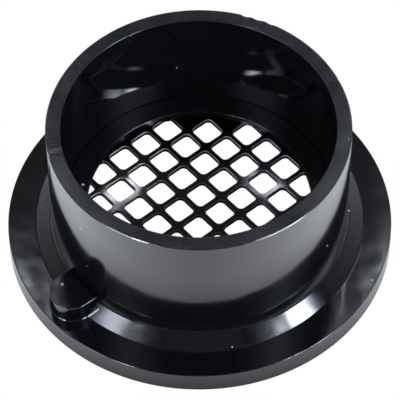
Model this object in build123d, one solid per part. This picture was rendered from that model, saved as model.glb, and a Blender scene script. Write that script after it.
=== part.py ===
from build123d import *

import math
import os

# Flanged strainer collar of a kitchen waste disposer: a straight tube bonded into a flat flange ring,
# a locating key beside it, and a strainer dish that drops in from the top of the tube.
# Millimetres. +Z is the axis of the tube, and the flange's underside lies on z = 0, centred on the origin.

# Collar tube
collar_diameter = 88.0
collar_wall = 4.4
collar_height = 50.5  # rim above the flange's underside
rim_round = 0.45  # softened outer edge of the rim
rim_break = 0.25  # broken inner edge of the rim
socket_depth_floor = 4.0  # height of the socket's floor, on which the tube stands
shelf_height = 7.65  # height of the shelf that carries the strainer
shelf_width = 1.3  # how far the shelf stands in from the bore
shelf_lip = 1.0  # thickness of the shelf at its inner edge

# Flange ring
flange_overhang = 13.0  # from the tube's outside to the flange's edge
flange_thickness = 7.1
flange_round = 0.35
mouth_land = 0.6  # the drain mouth is this much smaller in radius than the tube's outside
shoulder_run = 4.7  # width of the tapered shoulder
shoulder_height = 3.3
shoulder_land = 0.35  # narrow flat on top of the shoulder, around the tube

# Locating key
key_width = 13.1
key_height = 6.1  # above the flange's top face
key_edge_margin = 2.15  # from the key's nose to the flange's edge
key_bearing = 219.4  # degrees from +X, anticlockwise seen from above
key_round = 0.35
key_gap = 0.1  # between the key's back and the tube

# Strainer
slide_clearance = 0.15  # between the strainer and the bore, all round
grid_thickness = 1.3
dish_wall = 1.55
dish_wall_height = 4.85  # above the lattice
perforation_border = 0.4  # plain strip between the holes and the dish wall
lattice_pitch = 8.56
lattice_web = 1.66
hole_corner = 1.5
lattice_angle = 40.0
lattice_shift = 1.1  # the lattice is moulded this far off centre, along +Y
web_flare_height = 0.3  # the webs' upper edges are flared over this height
web_flare_angle = 45.0
rim_ring_thickness = 2.0
rim_ring_width = 6.25
rim_ring_round = 0.2
spigot_wall = 0.8
spigot_depth = 1.2
spigot_clearance = 0.1

# What follows from them
collar_radius = collar_diameter / 2
bore_radius = collar_radius - collar_wall
shelf_radius = bore_radius - shelf_width
mouth_radius = collar_radius - mouth_land
flange_radius = collar_radius + flange_overhang
strainer_radius = bore_radius - slide_clearance
dish_inner_radius = strainer_radius - dish_wall
perforated_radius = dish_inner_radius - perforation_border
dish_top = shelf_height + grid_thickness + dish_wall_height


def turned(*outline):
    """A solid of revolution about Z from (radius, height) corners."""
    profile = Plane.XZ * make_face(Polyline(*outline, close=True))
    return revolve(profile, Axis.Z)


def mouth_radius_at(height):
    """Radius of the conical drain mouth, which narrows from the underside up to the strainer's shelf."""
    top = shelf_height - shelf_lip
    return mouth_radius + (shelf_radius - mouth_radius) * height / top


def circles_at(solid, radius, height):
    """The full circular edges of a solid at one radius and height."""
    edges = solid.edges().filter_by(GeomType.CIRCLE)
    here = edges.filter_by(lambda e: abs(e.radius - radius) < 0.01 and abs(e.center().Z - height) < 0.01)
    return here.filter_by(lambda e: math.hypot(e.arc_center.X, e.arc_center.Y) < 0.01)


def make_collar_tube():
    """Straight tube with a narrow shelf inside, and a tapered bore below the shelf."""
    foot = socket_depth_floor
    tube = turned(
        (mouth_radius_at(foot), foot),
        (collar_radius, foot),
        (collar_radius, collar_height),
        (bore_radius, collar_height),
        (bore_radius, shelf_height),
        (shelf_radius, shelf_height),
        (shelf_radius, shelf_height - shelf_lip),
    )
    tube = fillet(circles_at(tube, collar_radius, collar_height), rim_round)
    return fillet(circles_at(tube, bore_radius, collar_height), rim_break)


def make_flange_ring():
    """Flat ring with a tapered shoulder round the tube's socket, and the lower part of the drain mouth."""
    shoulder_top = flange_thickness + shoulder_height
    ring = turned(
        (mouth_radius, 0),
        (flange_radius, 0),
        (flange_radius, flange_thickness),
        (collar_radius + shoulder_run, flange_thickness),
        (collar_radius + shoulder_land, shoulder_top),
        (collar_radius, shoulder_top),
        (collar_radius, socket_depth_floor),
        (mouth_radius_at(socket_depth_floor), socket_depth_floor),
    )
    rim = circles_at(ring, flange_radius, 0) + circles_at(ring, flange_radius, flange_thickness)
    return fillet(rim, flange_round)


def make_locating_key(flange_ring):
    """Radial block with a half-round nose, bonded on the flange and shoulder."""
    half_width = key_width / 2
    nose_centre = flange_radius - key_edge_margin - half_width
    straight = Pos(nose_centre / 2, 0) * Rectangle(nose_centre, key_width)
    outline = straight + Pos(nose_centre, 0) * Circle(half_width) - Circle(collar_radius + key_gap)
    outline = outline.faces().sort_by(Axis.X)[-1]
    key = extrude(outline, flange_thickness + key_height)
    key = fillet(key.faces().sort_by(Axis.Z)[-1].edges(), key_round)
    key = Rot(0, 0, key_bearing) * key
    below = Pos(0, 0, flange_thickness / 2) * Box(3 * flange_radius, 3 * flange_radius, flange_thickness)
    return key - below - flange_ring


def hole_centres():
    """Centres of the lattice's holes: a square grid turned by the lattice angle, inside the perforated circle."""
    reach = math.ceil(perforated_radius / lattice_pitch) + 1
    steps = [i + 0.5 for i in range(-reach, reach)]
    turn = math.radians(lattice_angle)
    for u in steps:
        for v in steps:
            x = lattice_pitch * (u * math.cos(turn) - v * math.sin(turn))
            y = lattice_pitch * (u * math.sin(turn) + v * math.cos(turn)) + lattice_shift
            if math.hypot(x, y) < perforated_radius:
                yield x, y


def make_hole_cutter():
    """Rounded square prism, flared at the top so that the webs have softened edges."""
    side = lattice_pitch - lattice_web
    square = Rot(0, 0, lattice_angle) * RectangleRounded(side, side, hole_corner)
    flare_base = grid_thickness - web_flare_height
    flare = Pos(0, 0, flare_base) * extrude(square, web_flare_height, taper=-web_flare_angle)
    return extrude(square, grid_thickness) + flare


def make_strainer_grid():
    """Shallow dish: a lattice floor with rounded square holes, and a plain upright wall."""
    floor = shelf_height
    dish = turned(
        (0, floor),
        (strainer_radius, floor),
        (strainer_radius, dish_top),
        (dish_inner_radius, dish_top),
        (dish_inner_radius, floor + grid_thickness),
        (0, floor + grid_thickness),
    )
    cutters = [Pos(x, y, floor) * make_hole_cutter() for x, y in hole_centres()]
    inside = Pos(0, 0, floor) * extrude(Circle(perforated_radius), grid_thickness)
    holes = [cutter & inside for cutter in cutters]
    return dish - holes


def make_strainer_rim_ring():
    """Flat ring that closes the top of the dish, with a spigot that locates it inside the dish wall."""
    top = dish_top + rim_ring_thickness
    lip_radius = strainer_radius - rim_ring_width
    spigot_radius = dish_inner_radius - spigot_clearance
    ring = turned(
        (lip_radius, top),
        (strainer_radius, top),
        (strainer_radius, dish_top),
        (spigot_radius, dish_top),
        (spigot_radius, dish_top - spigot_depth),
        (spigot_radius - spigot_wall, dish_top - spigot_depth),
        (spigot_radius - spigot_wall, dish_top),
        (lip_radius, dish_top),
    )
    upper_edges = circles_at(ring, lip_radius, top) + circles_at(ring, strainer_radius, top)
    return fillet(upper_edges, rim_ring_round)


def main():
    flange_ring = make_flange_ring()
    nodes = {
        "collar_tube": make_collar_tube(),
        "flange_ring": flange_ring,
        "locating_key": make_locating_key(flange_ring),
        "strainer_grid": make_strainer_grid(),
        "strainer_rim_ring": make_strainer_rim_ring(),
    }
    os.makedirs("parts", exist_ok=True)
    for name, shape in nodes.items():
        shape.label = name
        export_step(shape, f"parts/{name}.step")


main()
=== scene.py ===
import math

import bmesh
import bpy
from mathutils import Matrix, Vector


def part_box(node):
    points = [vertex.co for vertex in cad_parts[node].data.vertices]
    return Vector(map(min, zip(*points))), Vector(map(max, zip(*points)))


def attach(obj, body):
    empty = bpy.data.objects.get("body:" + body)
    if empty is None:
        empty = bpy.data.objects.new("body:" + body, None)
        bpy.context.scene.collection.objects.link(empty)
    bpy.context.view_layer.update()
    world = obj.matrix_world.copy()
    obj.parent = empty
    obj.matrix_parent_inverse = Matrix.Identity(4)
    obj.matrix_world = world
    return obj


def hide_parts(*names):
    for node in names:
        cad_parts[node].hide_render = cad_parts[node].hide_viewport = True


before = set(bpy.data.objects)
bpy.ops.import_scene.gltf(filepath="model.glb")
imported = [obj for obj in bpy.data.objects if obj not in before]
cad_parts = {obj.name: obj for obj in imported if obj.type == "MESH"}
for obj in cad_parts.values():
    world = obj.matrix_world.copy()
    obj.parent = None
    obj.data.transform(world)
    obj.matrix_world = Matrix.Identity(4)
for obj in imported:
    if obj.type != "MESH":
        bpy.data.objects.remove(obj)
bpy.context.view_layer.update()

MM = 0.001

RING_STEPS = 256  # flat faces in a full turn
ROUND_STEPS = 3  # flat faces across a rounded edge
SHARP_ANGLE = math.radians(40)  # an edge that turns more than this stays sharp
TOLERANCE = 0.01  # mm within which two places are the same


# ---------------------------------------------------------------- sizes in mm

# What the frame's boxes don't give
TUBE_WALL = 4.4
SHELF_WIDTH = 1.3  # how far the shelf stands in from the bore
SHELF_LIP = 1.0  # thickness of the shelf at its inner edge
MOUTH_LAND = 0.6  # the mouth is this much smaller in radius than the tube's outside
RIM_CHAMFER = 0.26  # scraped outer edge of the rim
BORE_BREAK = 0.25  # broken inner edge of the rim

FLANGE_THICKNESS = 7.1
FLANGE_ROUND = 0.35
SHOULDER_RUN = 4.7  # width of the tapered shoulder
SHOULDER_LAND = 0.35  # narrow flat on top of the shoulder, around the tube
SHOULDER_FOOT_ROUND = 0.3
SHOULDER_TOP_ROUND = 0.15

RING_THICKNESS = 2.0
RING_WIDTH = 6.25
RING_ROUND = 0.2
SPIGOT_INSET = 1.65  # from the outside of the strainer's rim to the outside of its spigot
SPIGOT_WALL = 0.8

KEY_BEARING = 219.4  # degrees from +X, anticlockwise seen from above
KEY_RADIUS = 6.55  # of the key's half-round nose
KEY_MARGIN = 2.15  # from the key's nose to the flange's edge

BEAD_SUNK = 0.05  # how far a bead of cement reaches into the parts that it joins
TUBE_BEAD = (0.28, 0.3)  # width and height of the bead around the tube
KEY_BEAD = (0.3, 0.25)  # width and height of the bead around the key
KEY_BEAD_CROWN = (0.18, 0.14)  # the point at which the key's bead bulges, out from the key and up
KEY_BEAD_STEPS = 48

# Chips in the rim's outer edge: bearing in degrees, half width and depth
RIM_CHIPS = [(70.5, 1.7, 0.4), (66.5, 3.2, 0.3), (61, 1.5, 0.25), (193, 1.3, 0.25), (22, 1.2, 0.25)]
CHIP_REACH = 0.5  # only what is this near the outer edge is chipped
CHIP_RAGGEDNESS = 7  # radians of waviness per mm along the edge
CHIP_DROP = 0.6  # how far a chip goes down for each mm that it goes in

# What the boxes give, and what follows
tube_low, tube_high = [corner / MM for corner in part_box("collar_tube")]
flange_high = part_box("flange_ring")[1] / MM
grid_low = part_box("strainer_grid")[0] / MM
ring_low, ring_high = [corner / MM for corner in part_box("strainer_rim_ring")]

TUBE_RADIUS = tube_high.x
TUBE_FOOT = tube_low.z
RIM_HEIGHT = tube_high.z
BORE_RADIUS = TUBE_RADIUS - TUBE_WALL
SHELF_RADIUS = BORE_RADIUS - SHELF_WIDTH
SHELF_HEIGHT = grid_low.z
SHELF_UNDERSIDE = SHELF_HEIGHT - SHELF_LIP
MOUTH_RADIUS = TUBE_RADIUS - MOUTH_LAND
MOUTH_AT_TUBE_FOOT = MOUTH_RADIUS + (SHELF_RADIUS - MOUTH_RADIUS) * TUBE_FOOT / SHELF_UNDERSIDE

FLANGE_RADIUS = flange_high.x
SHOULDER_TOP = flange_high.z
SHOULDER_RADIUS = TUBE_RADIUS + SHOULDER_RUN
SHOULDER_LAND_RADIUS = TUBE_RADIUS + SHOULDER_LAND

STRAINER_RADIUS = ring_high.x
RING_TOP = ring_high.z
RING_FOOT = RING_TOP - RING_THICKNESS
LIP_RADIUS = STRAINER_RADIUS - RING_WIDTH
SPIGOT_FOOT = ring_low.z
SPIGOT_RADIUS = STRAINER_RADIUS - SPIGOT_INSET
SPIGOT_INSIDE = SPIGOT_RADIUS - SPIGOT_WALL


# ---------------------------------------------------------------- colours and materials

ABS_IOR = 1.53
DUST_GREY = "#9a9da3"

WAVE_SIZE = 16  # mm across a swell in a moulded face
SMEAR_SIZE = 9  # mm across a smear left by handling
SMEAR_RANGE = (0.35, 0.75)  # from clean to fully smeared, as levels of the noise
SMEARED = 1.5  # a smear is this many times as rough as the clean surface
SPECK_SPACING = 7  # mm across the cells that each hold one speck of dust or none
SPECK_RADIUS = 0.14  # mm, of the smallest speck
SPECK_SPREAD = 0.315  # mm by which the largest is greater in radius
SPECK_ROUGHNESS = 0.5  # how much rougher a speck is


def linear(hex_colour):
    """Linear RGBA of an sRGB hex value."""
    parts = [int(hex_colour[i:i + 2], 16) / 255 for i in (1, 3, 5)]
    bent = [c / 12.92 if c <= 0.04045 else ((c + 0.055) / 1.055) ** 2.4 for c in parts]
    return (*bent, 1.0)


def add(tree, kind, inputs=None, **settings):
    """Adds a node, sets its attributes, and sets or links its inputs."""
    node = tree.nodes.new(kind)
    for name, value in settings.items():
        setattr(node, name, value)
    for name, value in (inputs or {}).items():
        if isinstance(value, bpy.types.NodeSocket):
            tree.links.new(value, node.inputs[name])
        else:
            node.inputs[name].default_value = value
    return node


def empty_material(name):
    """A material without nodes, and its node tree."""
    material = bpy.data.materials.new(name)
    material.use_nodes = True
    material.node_tree.nodes.clear()
    return material, material.node_tree


def surface_height(tree, place, wave, lines, line_depth):
    """The height in metres of a face's slow waves and of its tool marks, if it has any."""
    waves = add(tree, "ShaderNodeTexNoise", {"Vector": place, "Scale": 1 / (WAVE_SIZE * MM), "Detail": 2.0})
    height = add(tree, "ShaderNodeMath", {0: waves.outputs["Fac"], 1: wave * MM}, operation="MULTIPLY")
    if not lines:
        return height.outputs["Value"]
    per_metre = [1 / (spacing * MM) for spacing in lines]
    stretched = add(tree, "ShaderNodeMapping", {"Vector": place, "Scale": per_metre}).outputs["Vector"]
    marks = add(tree, "ShaderNodeTexNoise", {"Vector": stretched, "Scale": 1.0, "Detail": 3.0})
    marked = add(tree, "ShaderNodeMath", {
        0: marks.outputs["Fac"], 1: line_depth * MM, 2: height.outputs["Value"]}, operation="MULTIPLY_ADD")
    return marked.outputs["Value"]


def dished_normal(tree, place, dish):
    """The way a face points, leaning towards the axis in proportion to the distance from it."""
    facing = add(tree, "ShaderNodeNewGeometry").outputs["Normal"]
    slope = (-dish / MM, -dish / MM, 0)
    inwards = add(tree, "ShaderNodeVectorMath", {0: place, 1: slope}, operation="MULTIPLY")
    leaning = add(tree, "ShaderNodeVectorMath", {0: facing, 1: inwards.outputs["Vector"]}, operation="ADD")
    dished = add(tree, "ShaderNodeVectorMath", {0: leaning.outputs["Vector"]}, operation="NORMALIZE")
    return dished.outputs["Vector"]


def dust_specks(tree, place, dust):
    """1 on a speck of dust and 0 elsewhere. One random value picks a cell, and another sizes its speck."""
    cells = add(tree, "ShaderNodeTexVoronoi", {
        "Vector": place, "Scale": 1 / (SPECK_SPACING * MM), "Randomness": 1.0})
    chance = add(tree, "ShaderNodeSeparateColor", {"Color": cells.outputs["Color"]}).outputs
    radius = add(tree, "ShaderNodeMath", {
        0: chance["Green"], 1: SPECK_SPREAD / SPECK_SPACING, 2: SPECK_RADIUS / SPECK_SPACING},
        operation="MULTIPLY_ADD").outputs["Value"]
    inside = add(tree, "ShaderNodeMath", {0: cells.outputs["Distance"], 1: radius}, operation="LESS_THAN")
    chosen = add(tree, "ShaderNodeMath", {0: chance["Red"], 1: dust}, operation="LESS_THAN")
    speck = add(tree, "ShaderNodeMath", {
        0: inside.outputs["Value"], 1: chosen.outputs["Value"]}, operation="MULTIPLY")
    return speck.outputs["Value"]


def black_abs(name, colour, roughness, wave, dish=0.0, lines=None, line_depth=0.0, dust=0.0):
    """Solid black ABS.

    wave is the height in mm of its slow unevenness, and dish the slope gained per mm from the axis.
    lines gives the spacing in mm of the tool marks along X, Y and Z, and line_depth their depth in mm.
    dust is the share of the cells that hold a speck.
    """
    material, tree = empty_material(name)
    place = add(tree, "ShaderNodeTexCoord").outputs["Object"]
    bump = add(tree, "ShaderNodeBump", {
        "Height": surface_height(tree, place, wave, lines, line_depth),
        "Strength": 1.0,
        "Distance": 1.0,
        "Normal": dished_normal(tree, place, dish),
    })
    smears = add(tree, "ShaderNodeTexNoise", {"Vector": place, "Scale": 1 / (SMEAR_SIZE * MM), "Detail": 5.0})
    clean, smeared = SMEAR_RANGE
    finish = add(tree, "ShaderNodeMapRange", {
        "Value": smears.outputs["Fac"],
        "From Min": clean,
        "From Max": smeared,
        "To Min": roughness,
        "To Max": roughness * SMEARED,
    })
    speck = dust_specks(tree, place, dust)
    surface = add(tree, "ShaderNodeMix", {
        "Factor": speck, "A": linear(colour), "B": linear(DUST_GREY)}, data_type="RGBA").outputs[2]
    dull = add(tree, "ShaderNodeMath", {
        0: speck, 1: SPECK_ROUGHNESS, 2: finish.outputs["Result"]}, operation="MULTIPLY_ADD")
    shader = add(tree, "ShaderNodeBsdfPrincipled", {
        "Base Color": surface,
        "Roughness": dull.outputs["Value"],
        "IOR": ABS_IOR,
        "Normal": bump.outputs["Normal"],
    })
    add(tree, "ShaderNodeOutputMaterial", {"Surface": shader.outputs["BSDF"]})
    return material


# ABS moulded against a polished core: deep black, mirror-like.
polished_abs = black_abs("polished_black_abs", "#050608", 0.05, 0.1, dust=0.12)
# ABS tube drawn through a die: a soft gloss, with faint lines along the tube and specks of dust.
drawn_abs = black_abs("drawn_black_abs", "#050608", 0.085, 0.1, lines=(1.6, 1.6, 40), line_depth=0.012,
                      dust=0.25)
# ABS moulded in a finely finished tool: a soft gloss that keeps light edges, with dust on it.
flange_abs = black_abs("moulded_black_abs", "#050608", 0.085, 0.15, dust=0.35)
# Thin moulded lattice, dished a little as it cooled, so that its bars pick up light unevenly.
lattice_abs = black_abs("lattice_black_abs", "#040507", 0.06, 0.15, dish=0.0054)
# ABS where it was chipped: matt, and stressed to a pale grey. The same pale grey on the lattice's flared hole
# edges is a painted highlight.
chipped_and_edge_sheen_abs = black_abs("chipped_and_edge_sheen_black_abs", "#606266", 0.4, 0.05)
# The strainer's rim, moulded against a blasted face: a dull black.
blasted_abs = black_abs("blasted_black_abs", "#040507", 0.2, 0.1, dust=0.1)
# ABS sawn across and scraped flat: the finish is broken by saw marks, which are drawn coarse enough to show.
sawn_abs = black_abs("sawn_black_abs", "#07090d", 0.16, 0.1, lines=(9, 0.7, 9), line_depth=0.02, dust=0.3)


# ---------------------------------------------------------------- pieces

def turned(name, outline, rounded, body, material):
    """A ring turned about the tube's axis from (radius, height) corners in mm.

    rounded lists the corners to bevel, each with its width in mm and its number of faces.
    """
    shape = bmesh.new()
    corners = [shape.verts.new((radius * MM, 0, height * MM)) for radius, height in outline]
    sides = [shape.edges.new((a, b)) for a, b in zip(corners, corners[1:] + corners[:1])]
    bmesh.ops.spin(shape, geom=corners + sides, cent=(0, 0, 0), axis=(0, 0, 1), angle=math.tau,
                   steps=RING_STEPS, use_merge=True)
    bmesh.ops.remove_doubles(shape, verts=shape.verts, dist=0.0001 * MM)
    bmesh.ops.recalc_face_normals(shape, faces=shape.faces)
    for corner, width, segments in rounded:
        bmesh.ops.bevel(shape, geom=circle_at(shape, *corner), offset=width * MM, affect="EDGES",
                        segments=segments, profile=0.5, material=-1)
    return finished(name, shape, body, material)


def circle_at(shape, radius, height):
    """The edges of a shape that lie on one circle about the axis."""
    def on_circle(vert):
        off = abs(vert.co.xy.length / MM - radius)
        return off < TOLERANCE and abs(vert.co.z / MM - height) < TOLERANCE
    return [edge for edge in shape.edges if on_circle(edge.verts[0]) and on_circle(edge.verts[1])]


def finished(name, shape, body, material):
    """Turns a bmesh into an object on a body, shaded smooth with its flat faces kept flat."""
    for face in shape.faces:
        face.smooth = True
    for edge in shape.edges:
        edge.smooth = len(edge.link_faces) == 2 and edge.calc_face_angle() < SHARP_ANGLE
    mesh = bpy.data.meshes.new(name)
    shape.to_mesh(mesh)
    shape.free()
    mesh.materials.append(material)
    piece = bpy.data.objects.new(name, mesh)
    bpy.context.scene.collection.objects.link(piece)
    flat = piece.modifiers.new("flat_faces_stay_flat", "WEIGHTED_NORMAL")
    flat.weight = 100
    flat.keep_sharp = True
    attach(piece, body)
    return piece


def coat(piece, material, faces):
    """Gives some of a piece's faces a finish of their own."""
    piece.data.materials.append(material)
    for face in faces:
        face.material_index = len(piece.data.materials) - 1


def chip(mesh, bearing, half_width, depth):
    """Breaks away the tube's outer rim edge for a few millimetres, and returns the broken faces."""
    broken = set()
    for vert in mesh.vertices:
        turn = math.remainder(math.atan2(vert.co.y, vert.co.x) - math.radians(bearing), math.tau)
        along = turn * TUBE_RADIUS
        outermost = vert.co.xy.length > (TUBE_RADIUS - CHIP_REACH) * MM
        topmost = vert.co.z > (RIM_HEIGHT - CHIP_REACH) * MM
        if outermost and topmost and abs(along) < half_width:
            ragged = 0.5 + 0.5 * math.sin(CHIP_RAGGEDNESS * along + bearing)
            share = depth * ragged * (1 - (along / half_width) ** 2) / TUBE_RADIUS
            vert.co.x *= 1 - share
            vert.co.y *= 1 - share
            vert.co.z -= CHIP_DROP * share * TUBE_RADIUS * MM
            broken.add(vert.index)
    return [face for face in mesh.polygons if len(broken.intersection(face.vertices)) > 2]


def make_tube():
    """The straight tube with its inner shelf: drawn outside, polished inside, sawn and chipped at the rim."""
    outline = [
        (MOUTH_AT_TUBE_FOOT, TUBE_FOOT), (TUBE_RADIUS, TUBE_FOOT), (TUBE_RADIUS, RIM_HEIGHT),
        (BORE_RADIUS, RIM_HEIGHT), (BORE_RADIUS, SHELF_HEIGHT), (SHELF_RADIUS, SHELF_HEIGHT),
        (SHELF_RADIUS, SHELF_UNDERSIDE),
    ]
    rounded = [
        ((TUBE_RADIUS, RIM_HEIGHT), RIM_CHAMFER, 1),
        ((BORE_RADIUS, RIM_HEIGHT), BORE_BREAK, ROUND_STEPS),
    ]
    tube = turned("collar_tube_wall", outline, rounded, "collar", drawn_abs)
    faces = tube.data.polygons
    coat(tube, polished_abs, [face for face in faces if face.center.xy.length < (BORE_RADIUS + 0.1) * MM])
    coat(tube, sawn_abs, [face for face in faces if face.center.z > (RIM_HEIGHT - RIM_CHAMFER) * MM])
    coat(tube, chipped_and_edge_sheen_abs, [face for place in RIM_CHIPS for face in chip(tube.data, *place)])
    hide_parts("collar_tube")


def make_flange():
    """The flat ring, its tapered shoulder and the lower part of the mouth."""
    outline = [
        (MOUTH_RADIUS, 0), (FLANGE_RADIUS, 0), (FLANGE_RADIUS, FLANGE_THICKNESS),
        (SHOULDER_RADIUS, FLANGE_THICKNESS), (SHOULDER_LAND_RADIUS, SHOULDER_TOP),
        (TUBE_RADIUS, SHOULDER_TOP), (TUBE_RADIUS, TUBE_FOOT), (MOUTH_AT_TUBE_FOOT, TUBE_FOOT),
    ]
    rounded = [
        ((FLANGE_RADIUS, 0), FLANGE_ROUND, ROUND_STEPS),
        ((FLANGE_RADIUS, FLANGE_THICKNESS), FLANGE_ROUND, ROUND_STEPS),
        ((SHOULDER_RADIUS, FLANGE_THICKNESS), SHOULDER_FOOT_ROUND, ROUND_STEPS),
        ((SHOULDER_LAND_RADIUS, SHOULDER_TOP), SHOULDER_TOP_ROUND, ROUND_STEPS),
    ]
    flange = turned("flange", outline, rounded, "collar", flange_abs)
    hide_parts("flange_ring")


def make_tube_bead():
    """The thin bead of solvent cement left standing along the joint between tube and shoulder."""
    width, height = TUBE_BEAD
    outline = [
        (TUBE_RADIUS - BEAD_SUNK, SHOULDER_TOP - BEAD_SUNK),
        (TUBE_RADIUS + width, SHOULDER_TOP - BEAD_SUNK),
        (TUBE_RADIUS - BEAD_SUNK, SHOULDER_TOP + height),
    ]
    turned("tube_bond_bead", outline, [], "collar", flange_abs)


def make_key_bead():
    """The bead of solvent cement around the foot of the key's nose: a small section spun half a turn."""
    width, height = KEY_BEAD
    section = [(-BEAD_SUNK, -BEAD_SUNK), (width, -BEAD_SUNK), KEY_BEAD_CROWN, (-BEAD_SUNK, height)]
    bearing = math.radians(KEY_BEARING)
    outwards = Vector((math.cos(bearing), math.sin(bearing), 0))
    across = Vector((-outwards.y, outwards.x, 0))
    nose = outwards * (FLANGE_RADIUS - KEY_MARGIN - KEY_RADIUS) + Vector((0, 0, FLANGE_THICKNESS))
    shape = bmesh.new()
    corners = []
    for out, up in section:
        corner = nose - across * (KEY_RADIUS + out) + Vector((0, 0, up))
        corners.append(shape.verts.new(corner * MM))
    face = shape.faces.new(corners)
    bmesh.ops.spin(shape, geom=[face], cent=nose * MM, axis=(0, 0, 1), angle=math.pi, steps=KEY_BEAD_STEPS)
    bmesh.ops.recalc_face_normals(shape, faces=shape.faces)
    finished("key_bond_bead", shape, "collar", flange_abs)


def make_strainer_ring():
    """The flat ring that closes the strainer's dish, with the spigot that centres it."""
    outline = [
        (LIP_RADIUS, RING_TOP), (STRAINER_RADIUS, RING_TOP), (STRAINER_RADIUS, RING_FOOT),
        (SPIGOT_RADIUS, RING_FOOT), (SPIGOT_RADIUS, SPIGOT_FOOT), (SPIGOT_INSIDE, SPIGOT_FOOT),
        (SPIGOT_INSIDE, RING_FOOT), (LIP_RADIUS, RING_FOOT),
    ]
    rounded = [
        ((LIP_RADIUS, RING_TOP), RING_ROUND, ROUND_STEPS),
        ((STRAINER_RADIUS, RING_TOP), RING_ROUND, ROUND_STEPS),
    ]
    ring = turned("strainer_rim", outline, rounded, "strainer", blasted_abs)
    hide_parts("strainer_rim_ring")


def make_strainer_grid():
    """The lattice dish, cleaned from its CAD solid. The holes' flared edges carry a painted highlight in pale
    grey.
    """
    shape = bmesh.new()
    shape.from_mesh(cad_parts["strainer_grid"].data)
    bmesh.ops.remove_doubles(shape, verts=shape.verts, dist=0.001 * MM)
    bmesh.ops.dissolve_limit(shape, angle_limit=math.radians(1), verts=shape.verts, edges=shape.edges)
    bmesh.ops.triangulate(shape, faces=shape.faces)
    grid = finished("strainer_lattice", shape, "strainer", lattice_abs)
    # A flared face points halfway between up, 1, and sideways, 0.
    # Painted highlight: the flared faces are coloured pale grey to stand for the light they catch.
    coat(grid, chipped_and_edge_sheen_abs, [face for face in grid.data.polygons if 0.3 < face.normal.z < 0.95])
    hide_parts("strainer_grid")


make_tube()
make_flange()
make_tube_bead()
make_key_bead()
make_strainer_ring()
make_strainer_grid()
for material_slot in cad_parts["locating_key"].material_slots:
    material_slot.material = flange_abs


# ---------------------------------------------------------------- studio

CARD_REACH = 3.0  # metres from the card's middle to its sides
CARD_DROP = 0.05  # mm that the card lies below the part
CARD_TOUCHED = 0.3  # mm within which a face of the part counts as lying on the card
CARD_COVERED = (48, 72)  # mm from the axis, from where the part shades the card to where it is fully lit
CARD_SHADED = 0.03
CARD_LIT = 1.6
CARD_SIDES = (5, 60)  # mm to either side of the axis over which the card gets brighter
CARD_SIDES_GAIN = 1.4
CARD_BEHIND = (-20, 30)  # mm towards the back over which it gets dimmer
CARD_BEHIND_SHARE = 0.5

PANEL_AIM = 30  # mm above the underside, the height that the panels face
PANEL_WHITE = "#eef4ff"
PANEL_COOL = "#e6efff"

CAMERA_ELEVATION = 53.05  # degrees above the horizontal
CAMERA_DISTANCE = 15.65  # in flange radii
CAMERA_TARGET = (0.15, 8.4)  # mm to the right of the axis and above the flange's top face
CAMERA_ROLL = -0.63  # degrees
CAMERA_LENS = 269.7  # mm, on a 36 mm sensor


def flat_square(name, reach):
    """A square of one face that reaches the given distance in metres each way from the origin."""
    mesh = bpy.data.meshes.new(name)
    shape = bmesh.new()
    bmesh.ops.create_grid(shape, x_segments=1, y_segments=1, size=reach)
    shape.to_mesh(mesh)
    shape.free()
    square = bpy.data.objects.new(name, mesh)
    bpy.context.scene.collection.objects.link(square)
    return square


def card_light(tree):
    """How brightly the card lights the part: dim under it and behind it, brighter to its sides."""
    place = add(tree, "ShaderNodeTexCoord").outputs["Object"]
    reach = add(tree, "ShaderNodeVectorMath", {0: place}, operation="LENGTH").outputs["Value"]
    covered = add(tree, "ShaderNodeMapRange", {
        "Value": reach,
        "From Min": CARD_COVERED[0] * MM,
        "From Max": CARD_COVERED[1] * MM,
        "To Min": CARD_SHADED,
        "To Max": CARD_LIT,
    }, interpolation_type="SMOOTHSTEP").outputs["Result"]
    offsets = add(tree, "ShaderNodeSeparateXYZ", {"Vector": place}).outputs
    aside = add(tree, "ShaderNodeMath", {0: offsets["X"]}, operation="ABSOLUTE").outputs["Value"]
    sides = add(tree, "ShaderNodeMapRange", {
        "Value": aside,
        "From Min": CARD_SIDES[0] * MM,
        "From Max": CARD_SIDES[1] * MM,
        "To Min": 1.0,
        "To Max": CARD_SIDES_GAIN,
    }).outputs["Result"]
    behind = add(tree, "ShaderNodeMapRange", {
        "Value": offsets["Y"],
        "From Min": CARD_BEHIND[0] * MM,
        "From Max": CARD_BEHIND[1] * MM,
        "To Min": 1.0,
        "To Max": CARD_BEHIND_SHARE,
    }).outputs["Result"]
    around = add(tree, "ShaderNodeMath", {0: sides, 1: behind}, operation="MULTIPLY").outputs["Value"]
    return add(tree, "ShaderNodeMath", {0: covered, 1: around}, operation="MULTIPLY").outputs["Value"]


def make_floor():
    """A card just under the part: white seen from above, and clear from below and where it is touched."""
    floor = flat_square("floor", CARD_REACH)
    floor.location.z = -CARD_DROP * MM
    material, tree = empty_material("white_card")
    lit = add(tree, "ShaderNodeEmission", {"Color": linear("#f6faff"), "Strength": card_light(tree)})
    seen = add(tree, "ShaderNodeEmission", {"Color": linear("#ffffff"), "Strength": 1.0})
    path = add(tree, "ShaderNodeLightPath").outputs
    front = add(tree, "ShaderNodeMixShader", {
        0: path["Is Camera Ray"], 1: lit.outputs["Emission"], 2: seen.outputs["Emission"]})
    below = add(tree, "ShaderNodeNewGeometry").outputs["Backfacing"]
    near = add(tree, "ShaderNodeMath", {0: path["Ray Length"], 1: CARD_TOUCHED * MM}, operation="LESS_THAN")
    open_here = add(tree, "ShaderNodeMath", {0: below, 1: near.outputs["Value"]}, operation="MAXIMUM")
    clear = add(tree, "ShaderNodeBsdfTransparent").outputs["BSDF"]
    card = add(tree, "ShaderNodeMixShader", {
        0: open_here.outputs["Value"], 1: front.outputs["Shader"], 2: clear})
    add(tree, "ShaderNodeOutputMaterial", {"Surface": card.outputs["Shader"]})
    floor.data.materials.append(material)


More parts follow.
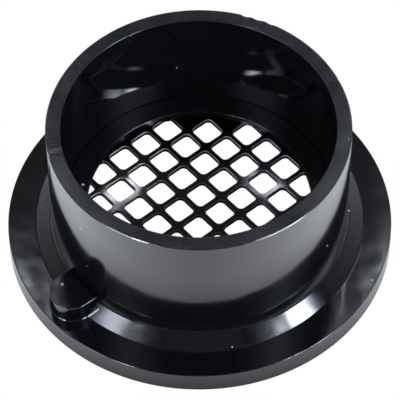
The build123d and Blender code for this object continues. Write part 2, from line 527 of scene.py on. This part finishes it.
def softbox(name, bearing, elevation, width, height, radiance, distance=1.0, edge=1.0, colour=PANEL_WHITE):
    """A diffusion panel facing the part, bright in the middle and fading over its edges.

    bearing is in degrees from the front, positive to the right, and elevation in degrees from level.
    distance, width and height are in metres. edge is the level of the fade, 1 at the very middle and 0 at the
    sides, above which the panel is at full brightness.
    """
    panel = flat_square(name, 0.5)  # a metre each way, before it is scaled
    turn, rise = math.radians(bearing), math.radians(elevation)
    away = Vector((math.sin(turn) * math.cos(rise), -math.cos(turn) * math.cos(rise), math.sin(rise)))
    facing = (-away).to_track_quat("-Z", "Y").to_matrix().to_4x4()
    centre = away * distance + Vector((0, 0, PANEL_AIM * MM))
    panel.matrix_world = Matrix.Translation(centre) @ facing @ Matrix.Diagonal((width, height, 1, 1))
    material, tree = empty_material(name)
    place = add(tree, "ShaderNodeTexCoord").outputs["Object"]
    scaled = add(tree, "ShaderNodeMapping", {"Vector": place, "Scale": (2, 2, 2)}).outputs["Vector"]
    middle = add(tree, "ShaderNodeTexGradient", {"Vector": scaled}, gradient_type="QUADRATIC_SPHERE")
    glow = add(tree, "ShaderNodeMapRange", {
        "Value": middle.outputs["Fac"], "From Max": edge, "To Max": radiance})
    light = add(tree, "ShaderNodeEmission", {"Color": linear(colour), "Strength": glow.outputs["Result"]})
    add(tree, "ShaderNodeOutputMaterial", {"Surface": light.outputs["Emission"]})
    panel.data.materials.append(material)


def make_room(overhead, horizon):
    """Dim, slightly cool surroundings, brighter towards the horizon."""
    world = bpy.data.worlds.new("room")
    world.use_nodes = True
    tree = world.node_tree
    tree.nodes.clear()
    direction = add(tree, "ShaderNodeTexCoord").outputs["Generated"]
    rise = add(tree, "ShaderNodeSeparateXYZ", {"Vector": direction}).outputs["Z"]
    level = add(tree, "ShaderNodeMapRange", {
        "Value": rise, "From Min": 0.05, "From Max": 0.65, "To Min": horizon, "To Max": overhead},
        interpolation_type="SMOOTHSTEP")
    sky = add(tree, "ShaderNodeBackground", {"Color": linear("#f4f8ff"), "Strength": level.outputs["Result"]})
    add(tree, "ShaderNodeOutputWorld", {"Surface": sky.outputs["Background"]})
    bpy.context.scene.world = world


def make_camera():
    """A long lens from the front, a little over fifty degrees up."""
    elevation = math.radians(CAMERA_ELEVATION)
    distance = CAMERA_DISTANCE * FLANGE_RADIUS * MM
    flange_top = FLANGE_THICKNESS * MM
    place = Vector((0, -distance * math.cos(elevation), flange_top + distance * math.sin(elevation)))
    right, up = CAMERA_TARGET
    target = Vector((right * MM, 0, flange_top + up * MM))
    data = bpy.data.cameras.new("camera")
    data.sensor_width = 36.0
    data.lens = CAMERA_LENS
    data.clip_start = 0.05
    data.clip_end = 20.0
    camera = bpy.data.objects.new("camera", data)
    turn = (target - place).to_track_quat("-Z", "Y").to_matrix().to_4x4()
    roll = Matrix.Rotation(math.radians(CAMERA_ROLL), 4, "Z")
    camera.matrix_world = Matrix.Translation(place) @ turn @ roll
    bpy.context.scene.collection.objects.link(camera)
    bpy.context.scene.camera = camera


make_floor()
make_room(overhead=0.16, horizon=0.8)
# The two main panels make the bright patches on the shoulder, and the wide faint ones surround them.
softbox("right_softbox", 64, 33.5, 0.46, 0.46, radiance=112, colour=PANEL_COOL)
softbox("left_softbox", -56, 34.5, 0.48, 0.48, radiance=40, colour=PANEL_COOL)
softbox("right_fill", 62, 54, 1.0, 1.0, radiance=4, distance=1.2, colour=PANEL_COOL)
softbox("left_fill", -58, 54, 1.0, 1.0, radiance=3, distance=1.2, colour=PANEL_COOL)
# Smaller ones nearer the front make the two patches in the bore.
softbox("right_low_softbox", 49, 36, 0.34, 0.22, radiance=140, edge=0.65)
softbox("left_low_softbox", -40, 36.5, 0.26, 0.22, radiance=140, edge=0.6)
# Two high ones behind make the sheen on the sides of rim and flange, and the glints on the lattice.
softbox("back_left_softbox", 163, 55.5, 0.09, 0.18, radiance=66)
softbox("back_right_softbox", 195, 57, 0.11, 0.16, radiance=44)
# A low one behind lights the back of the rim.
softbox("back_strip", 182, 35, 0.30, 0.20, radiance=34)
make_camera()
bpy.context.scene.view_settings.view_transform = "Standard"
